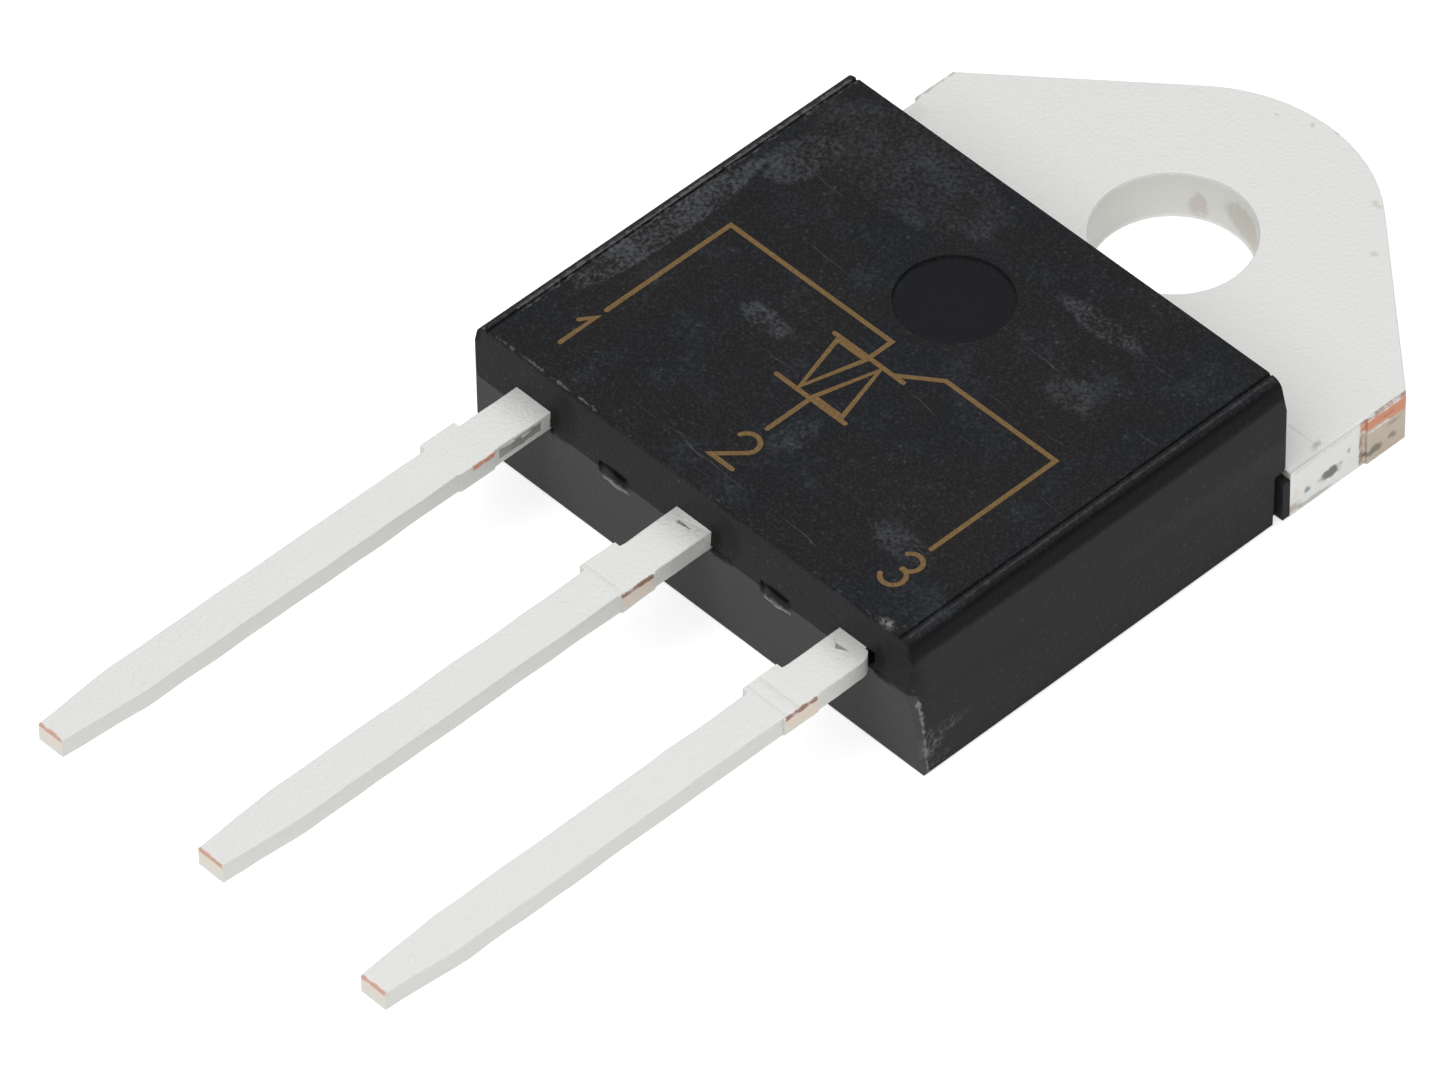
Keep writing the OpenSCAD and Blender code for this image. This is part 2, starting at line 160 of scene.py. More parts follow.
class Tree:
    """A node tree with short calls that add nodes and join them."""

    def __init__(self, tree):
        self.tree = tree

    def feed(self, socket, value):
        if isinstance(value, bpy.types.NodeSocket):
            self.tree.links.new(value, socket)
        else:
            socket.default_value = value

    def add(self, kind, inputs=None, **settings):
        made = self.tree.nodes.new(kind)
        for name, value in settings.items():
            setattr(made, name, value)
        for name, value in (inputs or {}).items():
            self.feed(made.inputs[name], value)
        return made

    def calc(self, operation, *values):
        made = self.add("ShaderNodeMath", operation=operation)
        for socket, value in zip(made.inputs, values):
            self.feed(socket, value)
        return made.outputs[0]

    def vector(self, operation, *values):
        made = self.add("ShaderNodeVectorMath", operation=operation)
        for socket, value in zip(made.inputs, values):
            self.feed(socket, value)
        return made.outputs["Value" if operation in ("LENGTH", "DOT_PRODUCT") else "Vector"]

    def scaled(self, vector, factor):
        made = self.add("ShaderNodeVectorMath", {"Scale": factor}, operation="SCALE")
        self.feed(made.inputs[0], vector)
        return made.outputs["Vector"]

    def ease(self, value, start, end):
        """Smooth step from 0 at start to 1 at end."""
        sockets = {"Value": value, "From Min": start, "From Max": end}
        return self.add("ShaderNodeMapRange", sockets, interpolation_type="SMOOTHSTEP").outputs[0]

    def mix(self, factor, first, second):
        made = self.add("ShaderNodeMix", data_type="RGBA")
        for index, value in ((0, factor), (6, first), (7, second)):
            self.feed(made.inputs[index], value)
        return made.outputs[2]

    def effect(self, name, **inputs):
        """Places a shared effect, with its inputs by name, and gives its output."""
        made = self.add("ShaderNodeGroup", node_tree=bpy.data.node_groups[name])
        for label, value in inputs.items():
            self.feed(made.inputs[label], value)
        return made.outputs[0]


def new_effect(name, inputs, output):
    """Starts a shared effect: its tree, its inputs by name and its output socket."""
    group = bpy.data.node_groups.new(name, "ShaderNodeTree")
    for label, kind in inputs.items():
        group.interface.new_socket(label, in_out="INPUT", socket_type="NodeSocket" + kind)
    group.interface.new_socket(output, in_out="OUTPUT", socket_type="NodeSocketFloat")
    tree = Tree(group)
    return tree, tree.add("NodeGroupInput").outputs, tree.add("NodeGroupOutput").inputs[0]


def make_cloud_effect():
    """Soft uneven patches, from -1 to 1, of a given size."""
    inputs = {"Position": "Vector", "Size": "Float", "Detail": "Float"}
    tree, given, result = new_effect("cloud", inputs, "Value")
    turned = tree.add("ShaderNodeVectorRotate", {"Vector": given["Position"], "Rotation": (0.7, 0.5, 1.0)},
                      rotation_type="EULER_XYZ").outputs[0]
    place = tree.vector("DIVIDE", turned, tree.add(
        "ShaderNodeCombineXYZ", {"X": given["Size"], "Y": given["Size"], "Z": given["Size"]}).outputs[0])
    cloud = tree.add("ShaderNodeTexNoise", {"Vector": place, "Scale": 1.0, "Detail": given["Detail"],
                                            "Roughness": 0.6})
    tree.feed(result, tree.calc("MULTIPLY", tree.calc("SUBTRACT", cloud.outputs[0], 0.5), 4.0))


def make_speckle_effect():
    """Small scattered grains: 1 on a grain and 0 between them."""
    inputs = {"Position": "Vector", "Spacing": "Float", "Reach": "Float", "Share": "Float"}
    tree, given, result = new_effect("speckle", inputs, "Mask")
    scale = tree.calc("DIVIDE", 1.0, given["Spacing"])
    cells = tree.add("ShaderNodeTexVoronoi", {"Vector": tree.scaled(given["Position"], scale), "Scale": 1.0})
    near = tree.ease(cells.outputs["Distance"], given["Reach"], 0.0)
    pick = tree.add("ShaderNodeSeparateColor", {"Color": cells.outputs["Color"]}).outputs[0]
    chosen = tree.calc("LESS_THAN", pick, given["Share"])
    tree.feed(result, tree.calc("MULTIPLY", near, chosen))


def make_scratch_effect():
    """Fine crooked lines that run across a direction."""
    inputs = {"Position": "Vector", "Along": "Vector", "Spacing": "Float", "Width": "Float"}
    tree, given, result = new_effect("scratches", inputs, "Mask")
    wander = tree.add("ShaderNodeTexNoise", {"Vector": given["Position"], "Scale": 0.8, "Detail": 2.0})
    offset = tree.calc("MULTIPLY", wander.outputs[0], 1.6)
    across = tree.calc("ADD", tree.vector("DOT_PRODUCT", given["Position"], given["Along"]), offset)
    wave = tree.calc("PINGPONG", across, given["Spacing"])
    line = tree.ease(wave, given["Width"], 0.0)
    parts = tree.add("ShaderNodeTexNoise", {"Vector": given["Position"], "Scale": 1.7, "Detail": 3.0})
    broken = tree.ease(parts.outputs[0], 0.52, 0.64)
    tree.feed(result, tree.calc("MULTIPLY", line, broken))


def make_patch_effect():
    """Patch round a centre with ragged sides: a box where Square is 1, an oval where it is 0."""
    inputs = {"Position": "Vector", "Centre": "Vector", "Half": "Vector", "Square": "Float",
              "Fade": "Float", "Grain": "Float", "Raggedness": "Float"}
    tree, given, result = new_effect("patch", inputs, "Mask")
    away = tree.vector("ABSOLUTE", tree.vector("SUBTRACT", given["Position"], given["Centre"]))
    room = tree.vector("SUBTRACT", given["Half"], away)
    inside = tree.add("ShaderNodeSeparateXYZ", {"Vector": room}).outputs
    box_depth = tree.calc("MINIMUM", tree.calc("MINIMUM", inside[0], inside[1]), inside[2])
    oval = tree.vector("LENGTH", tree.vector("DIVIDE", away, given["Half"]))
    oval_depth = tree.calc("MULTIPLY", tree.calc("SUBTRACT", 1.0, oval), tree.vector("LENGTH", given["Half"]))
    sides = tree.add("ShaderNodeMix", data_type="FLOAT")
    for index, value in ((0, given["Square"]), (2, oval_depth), (3, box_depth)):
        tree.feed(sides.inputs[index], value)
    ragged = tree.add("ShaderNodeTexNoise", {"Vector": given["Position"], "Scale": given["Grain"],
                                             "Detail": 3.0})
    shift = tree.calc("MULTIPLY", tree.calc("SUBTRACT", ragged.outputs[0], 0.5), given["Raggedness"])
    tree.feed(result, tree.ease(tree.calc("ADD", sides.outputs[0], shift), 0.0, given["Fade"]))


def new_material(name):
    """Empty material: its tree, the position in millimetres and the surface socket."""
    material = bpy.data.materials.new(name)
    material.use_nodes = True
    material.node_tree.nodes.clear()
    tree = Tree(material.node_tree)
    place = tree.add("ShaderNodeTexCoord").outputs["Object"]
    return material, tree, tree.scaled(place, 1 / MM), tree.add("ShaderNodeOutputMaterial").inputs["Surface"]


def add_surface(tree, output, inputs):
    """Adds the surface shader and joins it to the material's output."""
    tree.feed(output, tree.add("ShaderNodeBsdfPrincipled", inputs).outputs[0])


def bump(tree, height, depth):
    """Normal of a relief, with its depth in millimetres."""
    sockets = {"Height": height, "Distance": depth * MM, "Strength": 1.0}
    return tree.add("ShaderNodeBump", sockets).outputs[0]


# ---------------------------------------------------------------- materials

def marked(tree, place, colour, marks, square, fade, grain, ragged, cover=1.0):
    """Lays ragged patches over a colour: centre, half size, strength and tint of each."""
    for centre, half, strength, tint in marks:
        mask = tree.effect("patch", Position=place, Centre=centre, Half=half, Square=square, Fade=fade,
                           Grain=grain, Raggedness=ragged)
        share = tree.calc("MULTIPLY", tree.calc("MULTIPLY", mask, strength), cover)
        colour = tree.mix(share, colour, (*tint, 1))
    return colour


PALE_DUST = (0.15, 0.16, 0.18)
PALE_WEAR_AND_HIGHLIGHT = (0.26, 0.26, 0.26)
RIM_GLINT = (0.075, 0.073, 0.062)
SHADOW = (0.003, 0.0026, 0.0025)
DISH_BLACK = (0.0143, 0.0148, 0.0178)


def body_scuffs():
    """Dusty and worn areas of the body: centre, half size, strength and tint."""
    return [
        ((6.4, TOP_FRONT_Y + 0.06, TOP_Z), (0.40, 0.2, 0.2), 1.0, PALE_WEAR_AND_HIGHLIGHT),
        ((7.5, -15.5, 0.95), (0.2, 0.5, 0.55), 0.6, PALE_WEAR_AND_HIGHLIGHT),
        ((7.5, -14.9, 1.25), (0.2, 0.7, 0.25), 0.35, PALE_WEAR_AND_HIGHLIGHT),
        ((7.5, -15.2, 0.3), (0.2, 0.5, 0.25), 0.3, PALE_WEAR_AND_HIGHLIGHT),
        ((-6.5, -10.5, TOP_Z), (0.5, 3.4, 0.2), 0.40, PALE_DUST),
        ((-5.9, -6.6, TOP_Z), (0.7, 1.3, 0.2), 0.30, PALE_DUST),
        ((3.0, -5.5, TOP_Z), (1.5, 0.4, 0.2), 0.35, PALE_DUST),
        ((4.2, -7.6, TOP_Z), (0.9, 0.6, 0.2), 0.22, PALE_DUST),
        ((-2.6, -11.0, TOP_Z), (1.0, 0.4, 0.2), 0.35, PALE_DUST),
        ((0.6, -13.2, TOP_Z), (0.5, 0.9, 0.2), 0.25, PALE_DUST),
        ((4.9, -13.8, TOP_Z), (1.2, 0.5, 0.2), 0.22, PALE_DUST),
        ((-3.8, -5.1, TOP_Z), (3.2, 1.5, 0.2), 0.14, PALE_DUST),
    ]


def body_shades():
    """Darker areas of the body: the ejector dish, and painted shade beside the leads, along the parting line
    and in and above the scar openings; centre, half size, strength and tint.
    """
    dish = (*EJECTOR_CENTRE.xy, TOP_Z - 0.12)
    shades = [(dish, (EJECTOR_RADIUS * 1.1, EJECTOR_RADIUS * 1.1, 0.1), 1.0, DISH_BLACK)]
    for lead_x, half in zip(LEADS_X, (0.5, 0.55, 0.8)):
        shades += [
            ((lead_x + 0.55 + half, FRONT_Y, 3.45), (half, 0.4, 1.0), 0.32, SHADOW),
            ((lead_x + 0.70, FRONT_Y, 3.15), (0.35, 0.4, 0.7), 0.6, SHADOW),
            ((lead_x + 0.95, FRONT_Y, PARTING_Z - 0.04), (0.38, 0.2, 0.14), 0.9, SHADOW),
        ]
    for scar_x in SCARS_X:
        shades += [
            ((scar_x + 0.05, FRONT_Y + 0.1, PARTING_Z), (0.75, 0.5, 0.30), 1.0, SHADOW),
            ((scar_x + 0.10, FRONT_Y, PARTING_Z + 0.14), (0.60, 0.3, 0.22), 1.0, SHADOW),
        ]
    return shades


def worn_edges():
    """Thin broken lines along the body's edges: centre, half size, strength and tint."""
    return [
        ((-5.2, FRONT_Y, TOP_Z), (2.0, 0.05, 0.05), 0.5, PALE_WEAR_AND_HIGHLIGHT),
        ((1.5, FRONT_Y, TOP_Z), (5.4, 0.02, 0.02), 0.2, PALE_WEAR_AND_HIGHLIGHT),
        ((7.4, CORNER_LINE_Y, 1.35), (0.2, 0.05, 1.30), 0.8, PALE_WEAR_AND_HIGHLIGHT),
        ((-6.95, -9.5, TOP_Z), (0.12, 5.5, 0.1), 0.35, PALE_WEAR_AND_HIGHLIGHT),
    ]


def make_epoxy():
    """Black moulding compound: matt grainy top with dust and wear, plainer sides, with painted light and
    shade on its faces.
    """
    material, tree, place, output = new_material("moulding_compound")
    axes = tree.add("ShaderNodeSeparateXYZ", {"Vector": place}).outputs
    grain = tree.effect("cloud", Position=place, Size=0.11, Detail=1.0)
    fine_grain = tree.effect("cloud", Position=place, Size=0.07, Detail=1.0)
    smudge = tree.effect("cloud", Position=place, Size=1.3, Detail=4.0)
    top = tree.ease(axes[2], TOP_Z - 0.2, TOP_Z - 0.15)
    below_parting = tree.ease(axes[2], PARTING_Z + 0.02, PARTING_Z - 0.02)
    upper_setback = tree.calc("MULTIPLY", tree.calc("SUBTRACT", axes[2], PARTING_Z), UPPER_SLOPE)
    lower_setback = tree.calc("MULTIPLY", tree.calc("SUBTRACT", PARTING_Z, axes[2]), LOWER_SLOPE)
    setback = tree.calc("MAXIMUM", upper_setback, lower_setback)
    upright = tree.add("ShaderNodeCombineXYZ", {
        "X": axes[0], "Y": tree.calc("SUBTRACT", axes[1], setback), "Z": axes[2]}).outputs[0]
    upright_y = tree.add("ShaderNodeSeparateXYZ", {"Vector": upright}).outputs[1]
    frayed_y = tree.calc("MULTIPLY_ADD", grain, 0.03, upright_y)
    front = tree.ease(frayed_y, CORNER_LINE_Y + 0.06, CORNER_LINE_Y)
    soft_front = tree.ease(frayed_y, CORNER_LINE_Y + 0.45, CORNER_LINE_Y)
    tint = tree.ease(tree.effect("cloud", Position=place, Size=2.6, Detail=4.0), -0.8, 0.8)
    slate = tree.mix(tint, (0.0185, 0.0168, 0.0155, 1), (0.0130, 0.0150, 0.0192, 1))
    # Sides, upper front facet, lower front facet and lower sides each get their own tone of the same
    # compound: painted light and shade for how each face is lit, with the lower front facet lightest as
    # painted reflection of the white floor.
    colour = tree.mix(top, (0.0368, 0.0353, 0.0358, 1), slate)
    colour = tree.mix(tree.calc("MULTIPLY", soft_front, tree.calc("SUBTRACT", 1.0, top)), colour,
                      (0.0292, 0.0277, 0.0276, 1))
    colour = tree.mix(tree.calc("MULTIPLY", front, below_parting), colour, (0.0735, 0.0715, 0.0735, 1))
    lower_side = tree.calc("MULTIPLY", below_parting, tree.calc("SUBTRACT", 1.0, front))
    colour = tree.mix(lower_side, colour, (0.0305, 0.0295, 0.0300, 1))
    haze = tree.ease(tree.calc("ADD", smudge, tree.calc("MULTIPLY", grain, 0.6)), 0.0, 1.8)
    colour = tree.mix(tree.calc("MULTIPLY", haze, tree.calc("MULTIPLY_ADD", top, 0.43, 0.12)), colour,
                      (0.062, 0.067, 0.076, 1))
    flecks = tree.calc("MULTIPLY", tree.ease(fine_grain, -0.4, 1.8),
                       tree.calc("MULTIPLY_ADD", top, 0.35, 0.25))
    colour = tree.mix(flecks, colour, (0.056, 0.056, 0.059, 1))
    crumbs = tree.effect("speckle", Position=place, Spacing=0.15, Reach=0.45, Share=0.16)
    colour = tree.mix(tree.calc("MULTIPLY", crumbs, tree.calc("MULTIPLY_ADD", haze, 0.45, 0.14)), colour,
                      (0.16, 0.16, 0.165, 1))
    hairs = tree.effect("scratches", Position=tree.vector("MULTIPLY", place, (0.35, 1.6, 1.0)),
                        Along=(0.2, 1.0, 0.0), Spacing=1.3, Width=0.03)
    colour = tree.mix(tree.calc("MULTIPLY", hairs, tree.calc("MULTIPLY", top, 0.35)), colour,
                      (0.16, 0.17, 0.18, 1))
    # Painted shade along the rounded upper edge of each side.
    side_edge_shades = [((side * 7.37, -9.8, 4.15), (0.30, 14, 0.45), 0.8, SHADOW) for side in (-1, 1)]
    colour = marked(tree, place, colour, side_edge_shades, square=0.0, fade=6.0, grain=2.6, ragged=0.4)
    colour = marked(tree, place, colour, body_shades(), square=0.0, fade=0.6, grain=2.6, ragged=0.4)
    patchy = tree.ease(tree.calc("ADD", grain, smudge), -0.9, 1.0)
    colour = marked(tree, place, colour, body_scuffs(), square=0.0, fade=0.5, grain=2.6, ragged=0.9,
                    cover=patchy)
    # Painted highlight along each top rim, and painted highlights on the torn lips under the scars.
    glints = [((side * 7.06, -9.8, TOP_Z), (0.055, 6.0, 0.1), 0.9, RIM_GLINT) for side in (-1, 1)]
    torn = [((scar_x + 0.08, FRONT_Y - 0.02, PARTING_Z - 0.25), (0.46, 0.10, 0.09), 1.0, PALE_WEAR_AND_HIGHLIGHT)
            for scar_x in SCARS_X]
    colour = marked(tree, place, colour, glints + torn, square=1.0, fade=0.09, grain=7.0, ragged=0.12)
    colour = marked(tree, upright, colour, worn_edges(), square=1.0, fade=0.06, grain=5.0, ragged=0.30)
    height = tree.calc("ADD", grain, tree.calc("MULTIPLY", crumbs, 0.6))
    add_surface(tree, output, {"Base Color": colour, "Roughness": 0.6, "Specular IOR Level": 0.06,
                               "Normal": bump(tree, height, 0.005)})
    return material


def plated(name, side_shade, smears, cuts):
    """Matt tin with painted shade on the faces that do not face up; smears are soft ovals and cuts are crisp
    boxes.
    """
    material, tree, place, output = new_material(name)
    mottle = tree.effect("cloud", Position=place, Size=1.1, Detail=4.0)
    grain = tree.effect("cloud", Position=place, Size=0.09, Detail=1.0)
    tone = tree.calc("MULTIPLY_ADD", mottle, 0.25, 0.5)
    colour = tree.mix(tone, (0.79, 0.805, 0.795, 1), (0.875, 0.875, 0.84, 1))
    facing_up = tree.add("ShaderNodeSeparateXYZ", {
        "Vector": tree.add("ShaderNodeNewGeometry").outputs["True Normal"]}).outputs[2]
    # Faces that do not face up get painted shade.
    side = tree.ease(facing_up, 0.75, 0.2)
    colour = tree.mix(tree.calc("MULTIPLY", side, side_shade), colour, (0.60, 0.60, 0.55, 1))
    lines = tree.effect("scratches", Position=place, Along=(0.94, 0.34, 0.0), Spacing=0.9, Width=0.02)
    colour = tree.mix(tree.calc("MULTIPLY", lines, 0.10), colour, (0.45, 0.44, 0.42, 1))
    colour = marked(tree, place, colour, cuts, square=1.0, fade=0.05, grain=5.0, ragged=0.12)
    colour = marked(tree, place, colour, smears, square=0.0, fade=0.3, grain=5.0, ragged=0.7)
    rough = tree.calc("MULTIPLY_ADD", mottle, 0.04, 0.46)
    add_surface(tree, output, {"Base Color": colour, "Metallic": 0.3, "Roughness": rough,
                               "Normal": bump(tree, grain, 0.003)})
    return material


DULL_AND_SHADE = (0.42, 0.40, 0.35)
SOOT = (0.10, 0.085, 0.06)
RESIN_BROWN = (0.36, 0.28, 0.19)
COPPER = (0.63, 0.25, 0.13)
COPPER_PALE = (0.84, 0.67, 0.54)
COPPER_DARK = (0.26, 0.10, 0.05)
CHALK_AND_GLINT = (0.92, 0.90, 0.84)
FRACTURE = (0.52, 0.44, 0.35)
SCRAPED = (0.27, 0.27, 0.25)


def make_tab_plating():
    """Plated tab, with copper on the sheared stubs and handling marks."""
    smears = [
        ((STUB_X, -2.33, 0.53), (0.3, 0.48, 0.22), 0.9, SOOT),
        ((STUB_X, -0.95, 0.34), (0.3, 0.35, 0.18), 0.75, SOOT),
        ((STUB_X, -0.35, 0.42), (0.3, 0.25, 0.14), 0.6, SOOT),
        ((STUB_X, -0.30, 0.85), (0.3, 0.3, 0.10), 0.35, SOOT),
        ((STUB_X, -3.10, 0.51), (0.3, 0.16, 0.14), 0.7, SOOT),
        ((STUB_X, -1.72, 0.81), (0.3, 0.09, 0.12), 0.7, SOOT),
        ((STUB_X, -3.50, 0.6), (0.3, 0.14, 0.3), 0.5, COPPER_PALE),
        ((STUB_X, -3.55, 0.2), (0.3, 0.30, 0.22), 0.6, RESIN_BROWN),
        ((STUB_X, -2.9, 0.1), (0.3, 0.7, 0.10), 0.35, SOOT),
        ((7.36, -2.60, TAB_Z), (0.14, 0.30, 0.2), 0.6, RESIN_BROWN),
        ((-0.23, 5.0, TAB_Z), (0.10, 0.10, 0.2), 0.6, DULL_AND_SHADE),
        ((0.38, 5.22, TAB_Z), (0.12, 0.05, 0.2), 0.6, DULL_AND_SHADE),
        ((-1.08, 4.63, TAB_Z), (0.10, 0.05, 0.2), 0.5, DULL_AND_SHADE),
        ((2.76, 4.14, TAB_Z), (0.2, 0.14, 0.2), 0.4, DULL_AND_SHADE),
        ((3.9, 2.9, TAB_Z), (0.14, 0.14, 0.2), 0.4, DULL_AND_SHADE),
        ((-7.3, -2.2, TAB_Z), (0.5, 1.1, 0.2), 0.15, DULL_AND_SHADE),
        ((-5.6, -3.4, TAB_Z), (2.2, 0.25, 0.2), 0.25, DULL_AND_SHADE),
        ((0.4, 1.7, 0.7), (0.9, 0.7, 0.6), 0.35, RESIN_BROWN),
        ((-0.9, 1.6, 0.5), (0.3, 0.6, 0.5), 0.35, RESIN_BROWN),
    ]
    cuts = [
        ((0, 0, 0.76), (2.2, 2.2, 0.68), 0.25, DULL_AND_SHADE),
        # painted shade between the two highlights of the rolled edge
        ((STUB_X, -2.6, 1.36), (0.2, 1.0, 0.05), 0.3, DULL_AND_SHADE),
        # painted shade along the fold line of the tab
        ((6.9, -2.62, TAB_Z), (0.5, 0.06, 0.1), 0.22, DULL_AND_SHADE),
    ]
    for side, bare in ((-1, 0.5), (1, 1.0)):
        cuts += [
            ((side * STUB_X, -0.58, 0.60), (0.1, 0.80, 0.62), 0.95, FRACTURE),
            ((side * STUB_X, -1.31, 0.62), (0.1, 0.08, 0.60), 0.6, COPPER_DARK),
            ((side * STUB_X, -0.58, 1.27), (0.1, 0.80, 0.18), bare, COPPER),
            ((side * STUB_X, -0.20, 1.12), (0.1, 0.34, 0.14), 0.9, COPPER),
            ((side * STUB_X, -0.80, 1.02), (0.1, 0.40, 0.05), 0.6, CHALK_AND_GLINT),
            ((side * STUB_X, -0.45, 1.22), (0.1, 0.20, 0.06), 0.5, COPPER_DARK),
            ((side * STUB_X, -0.58, 1.48), (0.1, 0.80, 0.05), 0.8 * bare, COPPER_DARK),
        ]
    return plated("plated_tab_finish", 0.1, smears, cuts)


def make_lead_plating(name, centre_x, smears, cuts):
    """Plated lead, with bare copper on its cut end and on its stubs' faces."""
    stub_y = (STUB_NEAR_Y + STUB_FAR_Y) / 2
    shared = [
        ((0, LEAD_END_Y, LEAD_MIDDLE_Z + 0.06), (0.42, 0.04, 0.2), 0.5, COPPER_PALE),
        ((0, LEAD_END_Y, LEAD_Z - 0.02), (0.42, 0.08, 0.08), 0.7, COPPER),
        ((STUB_LEFT, stub_y, LEAD_Z - 0.05), (0.05, 0.5, 0.09), 0.6, COPPER_PALE),
    ]
    def moved(marks):
        return [((x + centre_x, y, z), half, strength, tint) for (x, y, z), half, strength, tint in marks]
    return plated(name, 0.5, moved(smears), moved(shared + cuts))


def make_plain_metal(name, colour, roughness, metallic):
    """Finish of a sealed metal or ceramic piece."""
    material, tree, place, output = new_material(name)
    mottle = tree.effect("cloud", Position=place, Size=0.4, Detail=4.0)
    darker = tuple(channel * 0.8 for channel in colour[:3]) + (1,)
    shade = tree.mix(tree.calc("ADD", 0.5, tree.calc("MULTIPLY", mottle, 0.4)), darker, colour)
    add_surface(tree, output, {"Base Color": shade, "Metallic": metallic, "Roughness": roughness,
                               "Normal": bump(tree, mottle, 0.01)})
    return material


def make_laser_mark():
    """Gold-brown trace that a laser leaves on the compound."""
    material, tree, place, output = new_material("laser_mark")
    hatch = tree.effect("cloud", Position=place, Size=0.06, Detail=1.0)
    wear = tree.effect("cloud", Position=place, Size=0.5, Detail=4.0)
    tone = tree.calc("ADD", 0.55, tree.calc("MULTIPLY", hatch, 0.35))
    colour = tree.mix(tone, (0.13, 0.075, 0.028, 1), (0.25, 0.155, 0.065, 1))
    colour = tree.mix(tree.ease(wear, 0.4, 1.6), colour, (0.07, 0.05, 0.03, 1))
    add_surface(tree, output, {"Base Color": colour, "Roughness": 0.75, "Specular IOR Level": 0.2,
                               "Normal": bump(tree, hatch, 0.004)})
    return material


# ---------------------------------------------------------------- dressed solids

def open_solid(node):
    """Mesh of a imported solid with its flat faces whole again."""
    bm = bmesh.new()
    bm.from_mesh(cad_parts[node].data)
    bmesh.ops.remove_doubles(bm, verts=bm.verts, dist=WELD)
    bmesh.ops.dissolve_limit(bm, angle_limit=FLAT_ANGLE, verts=bm.verts, edges=bm.edges)
    return bm


def middle(edge):
    """Middle of an edge, in millimetres."""
    return (edge.verts[0].co + edge.verts[1].co) / (2 * MM)


def close_solid(bm, name, node, material, edge_radius, widest):
    """Makes the piece that stands for a node, its edges rounded as edge_radius says."""
    weight = bm.edges.layers.float.new("bevel_weight_edge")
    for edge in bm.edges:
        bare = edge.calc_face_angle(0) > SHARP_ANGLE
        radius = edge_radius(middle(edge)) if bare else 0
        edge[weight] = radius / widest
        edge.smooth = not (bare or is_near(middle(edge).z, PARTING_Z))
    for face in bm.faces:
        face.smooth = True
    mesh = bpy.data.meshes.new(name)
    bm.to_mesh(mesh)
    bm.free()
    mesh.materials.append(material)
    piece = put(mesh, name, Vector((0, 0, 0)))
    rounding = piece.modifiers.new("rounded_edges", "BEVEL")
    rounding.limit_method = "WEIGHT"
    rounding.width = widest * MM
    rounding.segments = 3
    rounding.harden_normals = True
    rounding.use_clamp_overlap = True
    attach(piece, "root")
    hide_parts(node)
    return piece


def is_near(value, level, gap=0.02):
    return abs(value - level) < gap


def body_edge(place):
    """Radius along each bare edge of the moulded body."""
    from_ejector = (place.xy - EJECTOR_CENTRE.xy).length
    if is_near(place.z, TOP_Z):
        return 0.03 if from_ejector < EJECTOR_RADIUS + 0.05 else BODY_ROUNDING
    return 0


def tab_edge(place):
    """Radius along each bare edge of the tab: rolled above, sharp on the sheared stubs."""
    if place.y < REAR_Y - 0.2 or abs(place.x) > STUB_X - 0.01:
        return 0
    if is_near(place.z, TAB_Z):
        return TAB_ROUNDING if abs(place.x) > 7.4 else 0.08
    return 0.03 if is_near(place.z, 0) else 0


def lead_edge(place):
    """Radius along each bare edge of a lead: none in the body, on the stubs and in the dents."""
    from_middle = min(abs(place.x - lead_x) for lead_x in LEADS_X)
    buried = place.y > FRONT_Y + 0.4
    at_stub = STUB_FAR_Y - 0.01 < place.y < STUB_NEAR_Y + 0.01
    in_dent = from_middle < 0.5 and STUB_NEAR_Y < place.y
    if buried or at_stub or in_dent:
        return 0
    return LEAD_ROUNDING if is_near(place.z, LEAD_Z) else 0.02


def roughen_mouths(bm):
    """Makes the mouths of the pockets on the parting line ragged, each within its facet.

    The wander shrinks towards the fixed corners, so that no edge folds over its neighbour.
    """
    rims = []
    for edge in bm.edges:
        heights = [vert.co.z / MM - PARTING_Z for vert in edge.verts]
        on_front = all(vert.co.y / MM < FRONT_Y + 0.04 for vert in edge.verts)
        at_pocket = max(abs(height) for height in heights) < POCKET_REACH
        if on_front and at_pocket and any(abs(height) > 0.05 for height in heights):
            rims.append(edge)
    corners = [vert.co / MM for edge in rims for vert in edge.verts]
    made = bmesh.ops.subdivide_edges(bm, edges=rims, cuts=RAGGED_CUTS)
    for vert in {part for part in made["geom_inner"] if isinstance(part, bmesh.types.BMVert)}:
        place = vert.co / MM
        nearest = min((place - corner).length for corner in corners)
        jitter = noise.noise_vector(place * RAGGED_GRAIN) * min(RAGGED_WANDER, nearest / 2)
        place.x += jitter.x
        place.z += jitter.z
        rise = place.z - PARTING_Z
        place.y = FRONT_Y + (rise * UPPER_SLOPE if rise > 0 else -rise * LOWER_SLOPE)
        vert.co = place * MM


def dress_body(material):
    """Moulded body with ragged pockets on its parting line."""
    bm = open_solid("moulded_body")
    roughen_mouths(bm)
    return close_solid(bm, "body_moulding", "moulded_body", material, body_edge, BODY_ROUNDING)


